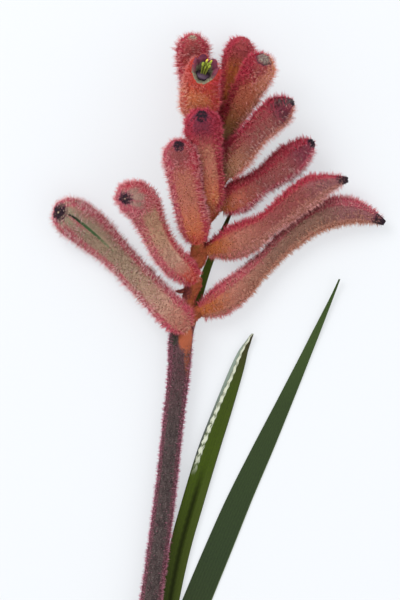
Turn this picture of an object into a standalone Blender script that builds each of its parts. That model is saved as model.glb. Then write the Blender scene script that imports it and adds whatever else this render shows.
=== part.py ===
"""A picked kangaroo paw flower stalk, lying on a surface.

The stalk ends in an axis that carries two rows of tube flowers, spread like a paw. Three sword
leaves clasp its foot. +Y runs up the stalk, +Z points away from the surface, and the origin is
the middle of the footprint. Sizes are in millimetres.
"""

import math
from collections import namedtuple

import bmesh
import bpy
import numpy as np

METRES_PER_MM = 0.001
GAP = 0.3  # between pieces that meet
FOOTPRINT_CENTRE = (0.29, -0.09, 0.0)

# Flowers. A route is the four control points of the centreline, from the ovary to the tip. The
# half depths are those of the ovary, the neck and the head. The belly is the side towards which
# the head bends. The ovary is widest at a length from the joint with the flower stalk, and the
# foot is how far that joint is off the route's start. A blunt head is 1, a slender one is 0. The
# neck and the widest place of the head are at shares of the length.
Flower = namedtuple(
    "Flower",
    "route half_depths belly ovary_mm foot blunt neck_at head_at",
    defaults=[6.0, (0.0, 0.0, 0.0), 1.0, 0.45, 0.78],
)
FLOWERS = {
    "flower_left_1": Flower(
        [(-7.8, 23.0, 11.1), (-17.1, 30.0, 7.0), (-32.0, 50.5, -4.7), (-40.1, 51.3, 10.8)],
        (3.0, 2.8, 3.9),
        (0.0, 0.0, 1.0),
        4.2,
        (-0.6, -0.6, -2.4),
    ),
    "flower_left_2": Flower(
        [(-6.2, 35.6, 9.6), (-17.5, 39.8, 11.8), (-17.0, 58.3, 9.6), (-23.4, 54.4, 19.4)],
        (3.0, 2.8, 3.9),
        (-0.3, -0.8, 0.5),
        4.2,
        (0.0, -0.8, -1.8),
    ),
    "flower_left_3": Flower(
        [(-5.3, 44.4, 8.0), (-6.9, 50.5, 13.2), (-9.7, 65.3, 16.6), (-9.9, 68.0, 23.0)],
        (2.9, 3.0, 3.3),
        (0.0, 0.0, 1.0),
        blunt=0.5,
    ),
    "flower_left_4": Flower(
        [(-2.3, 52.8, 8.6), (-0.4, 58.9, 15.2), (-4.4, 71.0, 15.5), (-4.2, 75.4, 24.0)],
        (2.3, 2.2, 3.5),
        (0.0, 0.0, 1.0),
        blunt=0.7,
    ),
    "flower_left_5": Flower(
        [(-2.6, 69.4, 9.4), (-5.6, 75.5, 13.6), (-5.2, 83.2, 15.8), (-2.9, 88.0, 22.0)],
        (2.6, 3.75, 3.15),
        (0.0, 0.0, 1.0),
        blunt=0.5,
    ),
    "flower_left_6": Flower(
        [(-3.4, 70.1, 5.0), (-6.4, 77.9, 5.4), (-6.7, 89.6, 5.4), (-6.4, 95.0, 12.0)],
        (2.4, 2.5, 3.15),
        (0.0, 0.0, 1.0),
        blunt=0.7,
    ),
    "flower_right_1": Flower(
        [(-4.4, 26.7, 4.8), (12.9, 33.0, 3.1), (21.4, 61.0, 4.5), (41.7, 48.6, 3.9)],
        (3.4, 2.3, 3.4),
        (0.1, -1.0, 0.1),
        7.5,
        blunt=0.2,
        neck_at=0.36,
    ),
    "flower_right_2": Flower(
        [(-2.6, 42.0, 5.6), (16.3, 45.6, 7.5), (17.4, 58.3, 10.2), (32.4, 59.4, 9.8)],
        (3.7, 2.6, 3.25),
        (0.3, -0.8, 0.5),
        7.0,
        blunt=0.0,
        neck_at=0.36,
    ),
    "flower_right_3": Flower(
        [(0.4, 53.2, 4.9), (8.2, 56.0, 6.9), (18.3, 64.4, 6.4), (23.6, 68.9, 10.6)],
        (3.5, 2.6, 3.35),
        (-0.4, 0.6, 0.7),
        blunt=0.35,
        neck_at=0.4,
        head_at=0.7,
    ),
    "flower_right_4": Flower(
        [(1.8, 61.2, 7.8), (5.8, 67.7, 15.0), (13.4, 76.1, 14.0), (18.5, 78.6, 17.6)],
        (3.1, 2.75, 3.2),
        (-0.3, 0.4, 0.9),
        blunt=0.15,
    ),
    "flower_right_5": Flower(
        [(1.4, 69.8, 7.7), (4.9, 78.1, 8.8), (9.4, 84.9, 12.0), (11.4, 89.5, 19.8)],
        (2.2, 2.7, 3.0),
        (0.0, 0.0, 1.0),
        blunt=0.7,
    ),
    "flower_right_6": Flower(
        [(1.5, 70.3, 3.8), (2.8, 77.6, 3.3), (3.9, 88.8, 1.9), (6.7, 94.9, 6.0)],
        (2.2, 2.4, 3.05),
        (0.2, 0.0, -1.0),
        blunt=0.5,
    ),
}
OPEN_FLOWER = "flower_left_5"
SPLIT_FLOWER = "flower_left_1"
WIDE = 1.2  # a flower's width over its depth
LOBES = 6
SIDES = 3 * LOBES
JOINT_R = 1.65
HEAD_AT = 0.78
FOOT_SHARE = 0.14
BEAK_R = 0.8
BEAK_NOTCH, BEAK_DIMPLE = 0.5, 0.5
MOUTH_R, MOUTH_WALL, MOUTH_TAPER, MOUTH_NOTCH = 2.6, 0.65, 0.3, 1.4
MOUTH_CUT = 4.6  # how much shorter the open flower is on its belly
CUT_FROM, MOUTH_FLOOR = 0.6, 0.79  # shares of the length where the cut's rings start and the cup ends
RIB = 0.04  # ribs along the tube, as a share of its radius
BEAK_RIB = 0.10
SLIT_FROM, SLIT_DEPTH = 0.6, 0.5
BASE_RINGS = [0, 0.1, 0.3, 0.6]  # shares of the ovary's length
TUBE_RINGS = 8
HEAD_RINGS = [0.84, 0.89, 0.94, 0.975, 1]

# Stamens of the open flower
FILAMENT_R, ANTHER_R, ANTHER_FROM = 0.32, 0.4, 0.66
STAMEN_FAN = 0.62  # angle between two stamens, all on the side away from the belly
STAMEN_SPREAD = (0.7, 1.25)  # from the centreline at the foot and at the tip
STAMEN_TOP, STAMEN_DROP = 1.03, 0.03  # shares of the flower's length
STAMEN_FOOT = 0.8  # thickness of the disc from which the stamens rise
STAMEN_RINGS = 9

# Stalk: points of its axis with the skin's radius, from the cut end to the last fork
STALK = [
    (-25.1, -95.6, 4.8, 2.6),
    (-21.1, -70.6, 4.8, 2.6),
    (-16.9, -45.6, 4.4, 2.55),
    (-13.5, -20.6, 4.2, 2.5),
    (-12.1, -8.1, 4.2, 2.45),
    (-10.7, 4.4, 4.2, 2.5),
    (-9.9, 12.0, 4.3, 2.65),
    (-9.5, 18.5, 4.4, 2.9),
    (-8.8, 22.5, 4.4, 2.6),
    (-8.1, 26.2, 4.4, 1.95),
    (-7.3, 30.4, 4.4, 1.65),
    (-6.2, 36.9, 4.4, 1.6),
    (-5.2, 41.9, 4.4, 1.7),
    (-3.9, 47.4, 4.4, 1.65),
    (-2.4, 52.6, 4.4, 1.6),
    (-1.4, 57.6, 4.5, 1.5),
    (-0.8, 62.4, 4.8, 1.45),
    (-0.5, 66.0, 5.4, 1.35),
]
STALK_FOOT = STALK[0][:3]
STALK_RINGS, STALK_SIDES = 46, 14
PEDICEL_SIDES, PEDICEL_RINGS = 9, 6
PEDICEL_R, PEDICEL_ROOT_SHARE = 1.5, 0.6  # the root as a share of the ovary's half depth
PEDICEL_DROP, PEDICEL_DROP_BY_RISE = 2.4, 0.65  # how far down the axis a flower stalk springs
BRACT_AT, BRACT_TIP, BRACT_HALF_WIDTH = (-7.3, 32.6, 4.6), (-10.6, 31.6, 6.4), 0.9

# Leaves: points of the midline with the half width and the rise of each edge as a share of it,
# from the foot to the tip
LEAF_THICK = 0.62
LEAF_CENTRE = LEAF_THICK / 2
Leaf = namedtuple("Leaf", "midline sheath_r sheath_angle sheath_half_angle sheath_end blade_start")
LEAVES = {
    "leaf_broad": Leaf(
        [
            (-23.9, -93.0, LEAF_CENTRE, 3.6, 0.0),
            (-18.4, -81.0, LEAF_CENTRE, 3.6, 0.0),
            (-14.6, -70.0, LEAF_CENTRE, 3.6, 0.0),
            (-10.2, -58.1, LEAF_CENTRE, 3.6, 0.0),
            (-5.2, -45.6, LEAF_CENTRE, 3.56, 0.0),
            (0.0, -33.1, LEAF_CENTRE, 3.45, 0.0),
            (5.3, -20.6, LEAF_CENTRE, 3.16, 0.0),
            (11.1, -8.1, LEAF_CENTRE, 2.68, 0.0),
            (16.9, 4.4, LEAF_CENTRE, 1.96, 0.0),
            (22.6, 16.9, 0.6, 1.23, 0.02),
            (28.2, 29.4, 1.4, 0.45, 0.05),
            (30.4, 34.6, 2.0, 0.2, 0.05),
        ],
        4.35, -30.0, 110.0, -79.0, -61.0,
    ),
    "leaf_folded": Leaf(
        [
            (-23.4, -92.0, 1.6, 2.6, 0.2),
            (-19.0, -78.0, 1.6, 2.6, 0.2),
            (-16.4, -68.0, 1.6, 2.6, 0.3),
            (-13.9, -56.0, 1.2, 2.5, 0.4),
            (-12.2, -45.6, 0.6, 2.4, 0.5),
            (-9.7, -33.1, 0.4, 2.65, 0.55),
            (-6.2, -20.6, 0.4, 2.75, 0.5),
            (-2.4, -8.1, 0.4, 2.72, 0.4),
            (1.1, 1.9, 0.4, 2.35, 0.3),
            (4.6, 11.9, 0.7, 1.76, 0.2),
            (6.2, 16.4, 1.0, 1.2, 0.15),
            (7.5, 18.9, 1.2, 0.7, 0.1),
            (8.5, 20.9, 1.4, 0.2, 0.1),
        ],
        3.3, -10.0, 84.0, -72.0, -52.0,
    ),
    "leaf_narrow": Leaf(
        [
            (-26.0, -93.0, LEAF_CENTRE, 1.5, 0.0),
            (-22.6, -75.0, LEAF_CENTRE, 1.5, 0.0),
            (-19.2, -55.0, LEAF_CENTRE, 1.5, 0.0),
            (-15.9, -32.0, LEAF_CENTRE, 1.5, 0.0),
            (-13.0, -8.0, LEAF_CENTRE, 1.45, 0.0),
            (-10.2, 10.0, LEAF_CENTRE, 1.35, 0.0),
            (-6.2, 26.0, LEAF_CENTRE, 1.15, 0.0),
            (-2.9, 37.0, LEAF_CENTRE, 0.95, 0.0),
            (0.8, 46.0, LEAF_CENTRE, 0.65, 0.0),
            (3.4, 52.0, LEAF_CENTRE, 0.3, 0.0),
        ],
        3.3, -145.0, 32.0, -60.0, -44.0,
    ),
}
LEAF_STATIONS, LEAF_ACROSS = 26, 8

COLOURS = {
    "stalk": (0.12, 0.06, 0.05),
    "flower_left_1": (0.30, 0.17, 0.13),
    "flower_left_2": (0.35, 0.16, 0.13),
    "flower_left_3": (0.28, 0.09, 0.06),
    "flower_left_4": (0.29, 0.08, 0.07),
    "flower_left_5": (0.36, 0.11, 0.07),
    "flower_left_6": (0.35, 0.08, 0.07),
    "flower_right_1": (0.24, 0.09, 0.07),
    "flower_right_2": (0.26, 0.08, 0.06),
    "flower_right_3": (0.23, 0.07, 0.06),
    "flower_right_4": (0.25, 0.09, 0.07),
    "flower_right_5": (0.26, 0.08, 0.05),
    "flower_right_6": (0.23, 0.05, 0.03),
    "stamens": (0.60, 0.58, 0.08),
    "leaf_broad": (0.045, 0.066, 0.029),
    "leaf_folded": (0.07, 0.10, 0.03),
    "leaf_narrow": (0.05, 0.065, 0.02),
}
FELT, WAXY = 0.9, 0.5  # roughness of the hairy pieces and of the leaves and stamens


def clear_scene():
    for obj in list(bpy.data.objects):
        bpy.data.objects.remove(obj)


def material(name):
    made = bpy.data.materials.new(name)
    made.use_nodes = True
    shader = made.node_tree.nodes["Principled BSDF"]
    shader.inputs["Base Color"].default_value = (*COLOURS[name], 1)
    hairy = name == "stalk" or name in FLOWERS
    shader.inputs["Roughness"].default_value = FELT if hairy else WAXY
    shader.inputs["Metallic"].default_value = 0.0
    return made


def add_object(name, points, faces, foot):
    """One closed piece from points in millimetres, with its origin at its foot.

    Nothing reaches below the surface at z = 0.
    """
    points = np.array(points, float)
    points[:, 2] = np.maximum(points[:, 2], 0.0)
    mesh = bpy.data.meshes.new(name)
    mesh.from_pydata(((points - foot) * METRES_PER_MM).tolist(), [], faces)
    tidy = bmesh.new()
    tidy.from_mesh(mesh)
    bmesh.ops.triangulate(tidy, faces=[f for f in tidy.faces if len(f.verts) > 4])
    bmesh.ops.recalc_face_normals(tidy, faces=tidy.faces)
    tidy.to_mesh(mesh)
    tidy.free()
    mesh.shade_smooth()
    mesh.set_sharp_from_angle(angle=math.radians(50))
    obj = bpy.data.objects.new(name, mesh)
    obj.location = (np.array(foot) - FOOTPRINT_CENTRE) * METRES_PER_MM
    bpy.context.scene.collection.objects.link(obj)
    return obj


def bezier(route, t):
    a, b, c, d = (np.array(p, float) for p in route)
    t = np.asarray(t, float)[:, None]
    return (1 - t) ** 3 * a + 3 * (1 - t) ** 2 * t * b + 3 * (1 - t) * t**2 * c + t**3 * d


def unit(v):
    return v / np.linalg.norm(v, axis=-1, keepdims=True)


def smooth_rows(rows, count):
    """Rows of numbers read from a Catmull-Rom curve through them, evenly by row length in space."""
    rows = np.array(rows, float)
    rows = np.vstack([2 * rows[0] - rows[1], rows, 2 * rows[-1] - rows[-2]])
    fine = []
    for a, b, c, d in zip(rows[:-3], rows[1:-2], rows[2:-1], rows[3:]):
        for t in np.linspace(0, 1, 20, endpoint=False):
            square, cube = 2 * a - 5 * b + 4 * c - d, 3 * b - a - 3 * c + d
            fine.append(0.5 * (2 * b + (c - a) * t + square * t**2 + cube * t**3))
    fine = np.array(fine + [rows[-2]])
    steps = np.linalg.norm(np.diff(fine[:, :3], axis=0), axis=1)
    along = np.concatenate([[0], np.cumsum(steps)])
    at = np.linspace(0, along[-1], count)
    return np.stack([np.interp(at, along, column) for column in fine.T], axis=1)


def tube_faces(rings, sides):
    """Faces of a tube of rings with a flat lid at each end."""
    faces = [list(range(sides))[::-1], [(rings - 1) * sides + k for k in range(sides)]]
    for i in range(rings - 1):
        for k in range(sides):
            n = (k + 1) % sides
            faces.append([i * sides + k, i * sides + n, (i + 1) * sides + n, (i + 1) * sides + k])
    return faces


def bezier_speeds(route, t):
    a, b, c, d = (np.array(p, float) for p in route)
    t = np.asarray(t, float)[:, None]
    return 3 * ((1 - t) ** 2 * (b - a) + 2 * (1 - t) * t * (c - b) + t**2 * (d - c))


def tube(axis, tangents, radii, sides):
    """Points of a round tube whose cross-sections stay square to its axis."""
    side = unit(np.cross(tangents, [0.0, 0.13, 1.0]))
    over = np.cross(side, tangents)
    angles = np.linspace(0, 2 * math.pi, sides, endpoint=False)[:, None]
    points = []
    for centre, s, o, r in zip(axis, side, over, radii):
        points.extend(centre + r * (np.cos(angles) * s + np.sin(angles) * o))
    return points


def smoothstep(x):
    x = np.clip(x, 0, 1)
    return x * x * (3 - 2 * x)


def flower_length(flower):
    fine = bezier(flower.route, np.linspace(0, 1, 60))
    return np.linalg.norm(np.diff(fine, axis=0), axis=1).sum()


def half_depth(t, flower, end_r):
    """A flower's half depth at the share t of its length: joint, ovary, neck, head, beak."""
    ovary, neck, head = flower.half_depths
    ovary_at = flower.ovary_mm / flower_length(flower)
    if t < ovary_at:
        return JOINT_R + (ovary - JOINT_R) * math.sin(math.pi / 2 * t / ovary_at)
    if t < flower.neck_at:
        return ovary + (neck - ovary) * smoothstep((t - ovary_at) / (flower.neck_at - ovary_at))
    if t < flower.head_at:
        grown = (t - flower.neck_at) / (flower.head_at - flower.neck_at)
        return neck + (head - neck) * smoothstep(grown)
    share = (t - flower.head_at) / (1 - flower.head_at)
    start, finish = 0.85 + 2.65 * flower.blunt, 1.0 - 0.3 * flower.blunt
    return end_r + (head - end_r) * (1 - share**start) ** finish


def flower_frames(flower, t):
    """Centre, tangent, belly direction and side direction at each share t of a flower."""
    to_foot = np.maximum(0, 1 - np.asarray(t, float)[:, None] / FOOT_SHARE)
    foot = np.array(flower.foot)
    centres = bezier(flower.route, t) + to_foot**2 * foot
    tangents = unit(bezier_speeds(flower.route, t) - 2 * to_foot / FOOT_SHARE * foot)
    belly = np.array(flower.belly, float)
    belly = unit(belly - (tangents @ belly)[:, None] * tangents)
    return centres, tangents, belly, np.cross(tangents, belly)


def joint_of(flower):
    return np.array(flower.route[0]) + flower.foot


def is_furrow(k):
    return k % (SIDES // LOBES) == 0


def flower_points(flower, shares, end_r, inset=0.0, slit=0.0):
    """Points at a table of shares of the length, a row for each ring and a column for each side.

    A ring is wider than deep, with a furrow between each two petal lobes.
    """
    shares = np.array(shares)
    centres, _, belly, side = flower_frames(flower, shares.ravel())
    points = []
    for n, t in enumerate(shares.ravel()):
        k = n % SIDES
        angle = 2 * math.pi * k / SIDES
        wide = WIDE if t else 1.0
        rib = RIB + (BEAK_RIB - RIB) * smoothstep((t - HEAD_AT) / (1 - HEAD_AT)) if t else 0.0
        reach = half_depth(t, flower, end_r) - inset
        reach *= 1 - rib if is_furrow(k) else 1 + rib / 2
        if slit and k == 0 and t > SLIT_FROM:
            reach -= slit * math.sin(math.pi * (t - SLIT_FROM) / (1 - SLIT_FROM))
        points.append(
            centres[n] + reach * (math.cos(angle) * belly[n] + wide * math.sin(angle) * side[n])
        )
    return points


def ring_shares(flower):
    ovary_at = flower.ovary_mm / flower_length(flower)
    shares = [share * ovary_at for share in BASE_RINGS]
    return shares + list(np.linspace(ovary_at, HEAD_AT, TUBE_RINGS)) + HEAD_RINGS


def closed_flower(name, flower):
    """A bud: its six lobes meet in a notched beak with a dimple in the middle."""
    shares = [[share] * SIDES for share in ring_shares(flower)]
    slit = SLIT_DEPTH if name == SPLIT_FLOWER else 0.0
    points = flower_points(flower, shares, BEAK_R, slit=slit)
    centre, tangent = (x[0] for x in flower_frames(flower, [1.0])[:2])
    for k in range(SIDES):
        if is_furrow(k):
            points[k - SIDES] = points[k - SIDES] - BEAK_NOTCH * tangent
    faces = tube_faces(len(shares), SIDES)
    del faces[1]
    last = len(points) - SIDES
    points.append(centre - BEAK_DIMPLE * tangent)
    faces += [[last + k, last + (k + 1) % SIDES, len(points) - 1] for k in range(SIDES)]
    return add_object(name, points, faces, joint_of(flower))


def mouth_cut(k):
    """How far the open flower's rim lies below the end of its length: deepest at the belly."""
    belly_cut = MOUTH_CUT * max(0.0, math.cos(2 * math.pi * k / SIDES)) ** 2
    return belly_cut + (MOUTH_NOTCH if is_furrow(k) and k else 0.0)


def open_flower(name, flower):
    """The flower whose lobes have parted: a cup with an oblique, lobed mouth."""
    length = flower_length(flower)
    cuts = [mouth_cut(k) / length for k in range(SIDES)]
    shares = []
    for share in ring_shares(flower):
        shortened = max(0.0, (share - CUT_FROM) / (1 - CUT_FROM))
        shares.append([share - shortened * cut for cut in cuts])
    points = flower_points(flower, shares, MOUTH_R)
    faces = tube_faces(len(shares), SIDES)
    del faces[1]
    for deep in (0.35, 1.0):
        before = len(points) - SIDES
        inner = [[rim + deep * (MOUTH_FLOOR - rim) for rim in shares[-1]]]
        points += flower_points(flower, inner, MOUTH_R, MOUTH_WALL + deep * MOUTH_TAPER)
        for k in range(SIDES):
            n = (k + 1) % SIDES
            faces.append([before + k, before + n, before + SIDES + n, before + SIDES + k])
    faces.append([len(points) - SIDES + k for k in range(SIDES)])
    return add_object(name, points, faces, joint_of(flower))


def join(name, pieces):
    """Several overlapping closed pieces made one by a Boolean union."""
    base, rest = pieces[0], pieces[1:]
    group = bpy.data.collections.new(name + "_pieces")
    bpy.context.scene.collection.children.link(group)
    for piece in rest:
        bpy.context.scene.collection.objects.unlink(piece)
        group.objects.link(piece)
    union = base.modifiers.new("union", "BOOLEAN")
    union.operand_type = "COLLECTION"
    union.collection = group
    union.operation = "UNION"
    union.solver = "EXACT"
    bpy.context.view_layer.update()
    graph = bpy.context.evaluated_depsgraph_get()
    joined = bpy.data.meshes.new_from_object(base.evaluated_get(graph))
    base.modifiers.clear()
    base.data = joined
    for piece in rest:
        bpy.data.objects.remove(piece)
    bpy.data.collections.remove(group)
    base.name = joined.name = name
    return base


def stamens(flower):
    """Six stamens and the style, rising in the open flower from one small disc."""
    length = flower_length(flower)
    low = MOUTH_FLOOR + GAP / length
    shares = [[low] * SIDES, [low + STAMEN_FOOT / length] * SIDES]
    points = flower_points(flower, shares, MOUTH_R, MOUTH_WALL + MOUTH_TAPER + GAP)
    foot = bezier(flower.route, [low])[0]
    pieces = [add_object("disc", points, tube_faces(2, SIDES), foot)]
    steps = np.linspace(0, 1, STAMEN_RINGS)
    start = low + 0.4 * STAMEN_FOOT / length
    for k in range(LOBES + 1):
        is_style = k == LOBES
        angle = math.pi + STAMEN_FAN * (k - (LOBES - 1) / 2)
        top = STAMEN_TOP - (STAMEN_DROP if k % 2 else 0.0)
        centres, _, belly, side = flower_frames(flower, start + (top - start) * steps)
        ring = 0.0 if is_style else np.interp(steps, [0, 1], STAMEN_SPREAD)[:, None]
        axis = centres + ring * (math.cos(angle) * belly + math.sin(angle) * side)
        anther = np.maximum(0, 1 - np.abs(steps - 0.85) / (0.9 - ANTHER_FROM)) ** 0.4
        radii = FILAMENT_R + (0 if is_style else 1) * (ANTHER_R - FILAMENT_R) * anther
        radii[-1] = 0.16
        tangents = unit(np.gradient(axis, axis=0))
        points = tube(axis, tangents, radii, 7)
        pieces.append(add_object("stamen", points, tube_faces(STAMEN_RINGS, 7), foot))
    return join("stamens", pieces)


def stalk_axis_at(y):
    """Centre of the stalk at a height y along it."""
    rows = np.array(STALK)
    return np.array([np.interp(y, rows[:, 1], rows[:, 0]), y, np.interp(y, rows[:, 1], rows[:, 2])])


def pedicel(flower):
    """A short flower stalk from inside the axis to the flower's joint."""
    joint, heading = (x[0] for x in flower_frames(flower, [0.0])[:2])
    end = joint - GAP * heading
    top = STALK[-1][1]
    rise = abs(joint[2] - stalk_axis_at(joint[1])[2])
    root = stalk_axis_at(min(joint[1] - PEDICEL_DROP - PEDICEL_DROP_BY_RISE * rise, top - 0.6))
    reach = np.linalg.norm(end - root)
    route = [root, root + 0.4 * (end - root), end - 0.32 * reach * heading, end]
    steps = np.linspace(0, 1, PEDICEL_RINGS)
    root_r = PEDICEL_ROOT_SHARE * flower.half_depths[0]
    radii = root_r + (PEDICEL_R - root_r) * smoothstep(steps)
    points = tube(bezier(route, steps), unit(bezier_speeds(route, steps)), radii, PEDICEL_SIDES)
    return add_object("pedicel", points, tube_faces(PEDICEL_RINGS, PEDICEL_SIDES), STALK_FOOT)


def bract():
    """The small leaf-like scale under the second flower of the left row."""
    root, tip = np.array(BRACT_AT), np.array(BRACT_TIP)
    steps = np.linspace(0, 1, 5)
    axis = root + np.outer(steps, tip - root) + np.outer(np.sin(math.pi * steps) * 0.5, [0, -1, 0.4])
    points = []
    for centre, s in zip(axis, steps):
        half = BRACT_HALF_WIDTH * math.sqrt(1 - 0.93 * s)
        for across, up in ((-half, 0), (0, -0.35), (half, 0), (0, 0.35)):
            points.append(centre + np.array([0.25 * across, across, up]))
    return add_object("bract", points, tube_faces(5, 4), STALK_FOOT)


def stalk():
    rows = smooth_rows(STALK, STALK_RINGS)
    tangents = unit(np.gradient(rows[:, :3], axis=0))
    points = tube(rows[:, :3], tangents, rows[:, 3], STALK_SIDES)
    pieces = [add_object("axis", points, tube_faces(STALK_RINGS, STALK_SIDES), STALK_FOOT)]
    pieces += [pedicel(flower) for flower in FLOWERS.values()]
    pieces.append(bract())
    return join("stalk", pieces)


def leaf_grid(leaf):
    """Centres of a leaf's blade, one row for each station, bent round the stalk near its foot."""
    grid = []
    for x, y, z, half, rise in smooth_rows(leaf.midline, LEAF_STATIONS):
        axis = stalk_axis_at(y)
        below, above = stalk_axis_at(y - 2), stalk_axis_at(y + 2)
        across = unit(np.cross(above - below, [0, 0, 1.0]))
        sheath = 1 - smoothstep((y - leaf.sheath_end) / (leaf.blade_start - leaf.sheath_end))
        row = []
        for j in np.linspace(-1, 1, LEAF_ACROSS + 1):
            blade = np.array([x, y, z]) + j * half * across + [0, 0, rise * abs(j) * half] - axis
            out, up = blade @ across, blade[2]
            along = blade - out * across - [0, 0, up]
            angle, reach = math.atan2(up, out), math.hypot(out, up)
            sheath_angle = math.radians(leaf.sheath_angle + j * leaf.sheath_half_angle)
            angle += sheath * (sheath_angle - angle)
            reach += sheath * (leaf.sheath_r - reach)
            turned = reach * (math.cos(angle) * across + [0, 0, math.sin(angle)])
            row.append(axis + turned + (1 - sheath) * along)
        grid.append(row)
    return np.array(grid)


def leaf_blade(name, leaf):
    grid = leaf_grid(leaf)
    normals = unit(np.cross(np.gradient(grid, axis=1), np.gradient(grid, axis=0)))
    upper = grid + LEAF_THICK / 2 * normals
    lower = grid - LEAF_THICK / 2 * normals
    rows, columns = grid.shape[:2]
    points = np.concatenate([upper.reshape(-1, 3), lower.reshape(-1, 3)])
    under = rows * columns
    faces = []

    def number(i, j, side):
        return i * columns + j + side * under

    for i in range(rows - 1):
        for j in range(columns - 1):
            a, b = number(i, j, 0), number(i, j + 1, 0)
            c, d = number(i + 1, j + 1, 0), number(i + 1, j, 0)
            faces += [[a, b, c], [a, c, d]]
            faces += [[a + under, c + under, b + under], [a + under, d + under, c + under]]
        for j in (0, columns - 1):
            faces.append([number(i, j, 0), number(i + 1, j, 0), number(i + 1, j, 1), number(i, j, 1)])
    for i in (0, rows - 1):
        for j in range(columns - 1):
            faces.append([number(i, j, 0), number(i, j + 1, 0), number(i, j + 1, 1), number(i, j, 1)])
    return add_object(name, points, faces, leaf.midline[0][:3])


def main():
    clear_scene()
    stalk()
    for name, flower in FLOWERS.items():
        make = open_flower if name == OPEN_FLOWER else closed_flower
        make(name, flower)
    stamens(FLOWERS[OPEN_FLOWER])
    for name, leaf in LEAVES.items():
        leaf_blade(name, leaf)
    for obj in bpy.data.objects:
        obj.data.materials.clear()
        obj.data.materials.append(material(obj.name))


main()
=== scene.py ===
"""A picked kangaroo paw flower stalk on a pale table, seen from straight above.

Sizes are in millimetres and turn to metres when a mesh is made. The routes of the flowers and the
leaves are those of the part's own solids, with the skins modelled finer and the hairs added.
"""

import math
from collections import namedtuple
from functools import partialmethod

import bmesh
import bpy
import numpy as np
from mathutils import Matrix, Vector
from mathutils.bvhtree import BVHTree
from mathutils.kdtree import KDTree
from numpy.linalg import norm


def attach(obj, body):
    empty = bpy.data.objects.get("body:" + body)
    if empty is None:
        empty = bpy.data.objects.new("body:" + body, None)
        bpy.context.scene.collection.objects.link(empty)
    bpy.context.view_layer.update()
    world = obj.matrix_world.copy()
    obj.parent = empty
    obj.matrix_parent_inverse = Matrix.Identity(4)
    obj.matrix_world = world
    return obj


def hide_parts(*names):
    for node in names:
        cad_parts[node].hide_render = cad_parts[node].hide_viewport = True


METRES_PER_MM = 0.001
FOOTPRINT_CENTRE = np.array([0.29, -0.09, 0.0])
TURN = 2 * math.pi
UP = (0.0, 0.0, 1.0)

# The photograph and the camera
PHOTO_SIZE = (400, 600)
MM_PER_PX = 0.25
ORIGIN_PX = (218.5, 417.5)
CAMERA_DISTANCE, OBJECT_HEIGHT, SENSOR = 1500.0, 8.0, 36.0

# Colours, linear
BLACK = (0.012, 0.01, 0.014)
SOOT = (0.045, 0.03, 0.04)
PLUM = (0.10, 0.02, 0.045)
WINE = (0.28, 0.045, 0.075)
MAUVE = (0.40, 0.15, 0.16)
BRICK = (0.40, 0.10, 0.095)
TAUPE = (0.36, 0.18, 0.13)
SAGE = (0.44, 0.36, 0.24)
SAND = (0.45, 0.315, 0.215)
BUFF = (0.66, 0.37, 0.27)
FAWN = (0.62, 0.35, 0.22)
CLAY = (0.62, 0.24, 0.17)
CLARET = (0.44, 0.028, 0.055)
CRIMSON = (0.62, 0.05, 0.09)
SCARLET = (0.72, 0.08, 0.055)
ROSE = (0.68, 0.105, 0.165)
PINK = (0.92, 0.48, 0.48)
BLUSH = (1.0, 0.85, 0.84)
PEACH = (0.90, 0.48, 0.27)
APRICOT = (0.80, 0.23, 0.095)
AMBER = (0.62, 0.175, 0.045)
COPPER = (0.58, 0.155, 0.085)
RUST = (0.48, 0.11, 0.045)
UMBER = (0.34, 0.135, 0.04)
OLIVE = (0.38, 0.21, 0.085)
CREAM = (0.88, 0.68, 0.48)
STRAW = (1.0, 0.76, 0.44)
SHELL = (0.92, 0.62, 0.49)
CORAL = (0.70, 0.245, 0.165)
MELON = (0.86, 0.37, 0.20)
NUDE = (0.62, 0.27, 0.195)
TAN = (0.56, 0.25, 0.13)
GARNET = (0.44, 0.075, 0.075)
DUSK = (0.47, 0.285, 0.225)
LICHEN = (0.27, 0.235, 0.185)

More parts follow.
